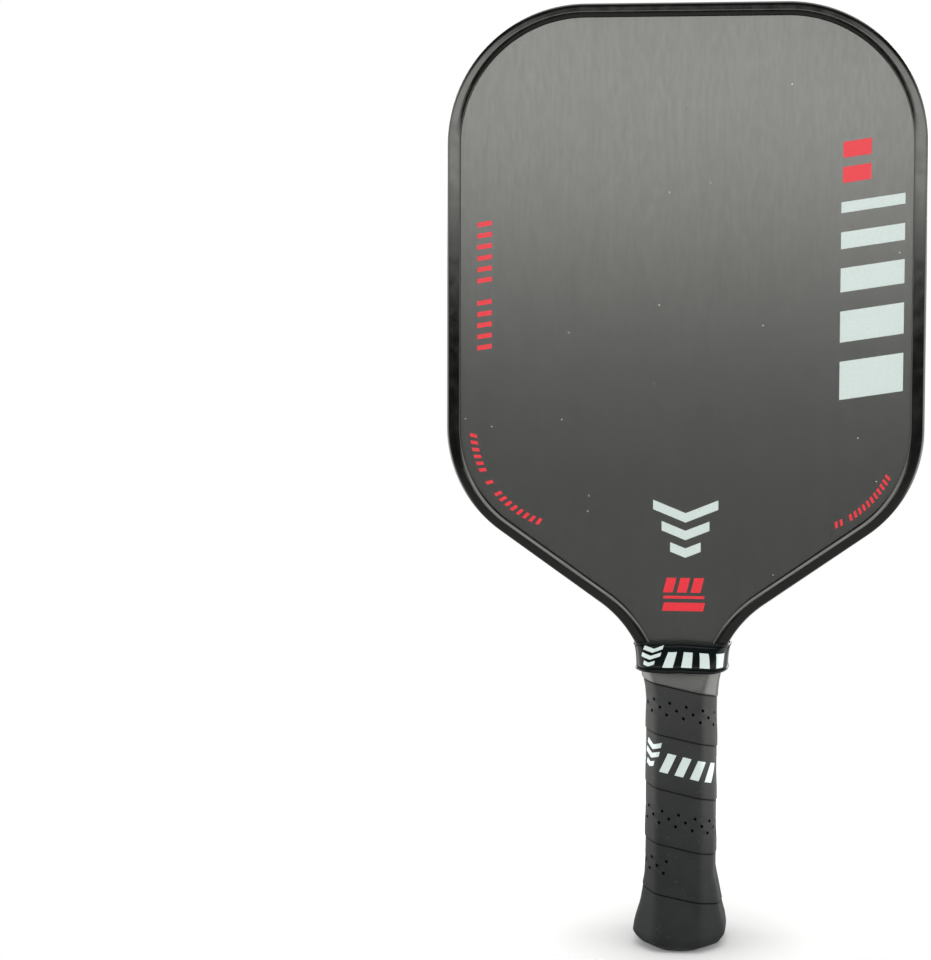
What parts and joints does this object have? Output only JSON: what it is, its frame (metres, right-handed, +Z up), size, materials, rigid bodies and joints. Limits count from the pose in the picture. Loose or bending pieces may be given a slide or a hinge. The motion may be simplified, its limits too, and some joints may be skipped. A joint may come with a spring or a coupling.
{
  "type": "pickleball paddle",
  "caption": "Pickleball paddle with a carbon-faced honeycomb head, rubber edge guard, octagonal handle with a perforated wrapped grip, flared butt cap and rubber collar",
  "frame": {"origin": "centre of the butt cap's end face, at the bottom of the upright paddle", "axes": "+Z up the handle to the top of the head, the front face looks towards -Y, +X to the right seen from the front"},
  "size_m": [0.2032, 0.0392, 0.4],
  "materials": {
    "carbon_laminate": "matte",
    "bond_film": "satin",
    "honeycomb_polymer": "matte",
    "edge_foam": "matte",
    "guard_rubber": "satin",
    "edge_tape": "matte",
    "pallet_foam": "matte",
    "cap_plastic": "satin",
    "staple_steel": "satin",
    "grip_leather": "matte",
    "finish_vinyl": "satin",
    "collar_rubber": "gloss",
    "pale_ink": "satin",
    "red_ink": "satin"
  },
  "bodies": {
    "root": {"front_face_sheet": "carbon_laminate", "back_face_sheet": "carbon_laminate", "front_bond_film": "bond_film", "back_bond_film": "bond_film", "honeycomb_core": "honeycomb_polymer", "perimeter_foam": "edge_foam", "edge_guard": "guard_rubber", "edge_guard_tape": "edge_tape", "front_handle_pallet": "pallet_foam", "back_handle_pallet": "pallet_foam", "butt_cap": "cap_plastic", "butt_cap_disc": "cap_plastic", "butt_cap_staple_front_left": "staple_steel", "butt_cap_staple_front_right": "staple_steel", "butt_cap_staple_back_left": "staple_steel", "butt_cap_staple_back_right": "staple_steel", "grip_start_staple": "staple_steel", "grip_wrap": "grip_leather", "finishing_tape": "finish_vinyl", "collar_band": "collar_rubber"}
  },
  "joints": []
}
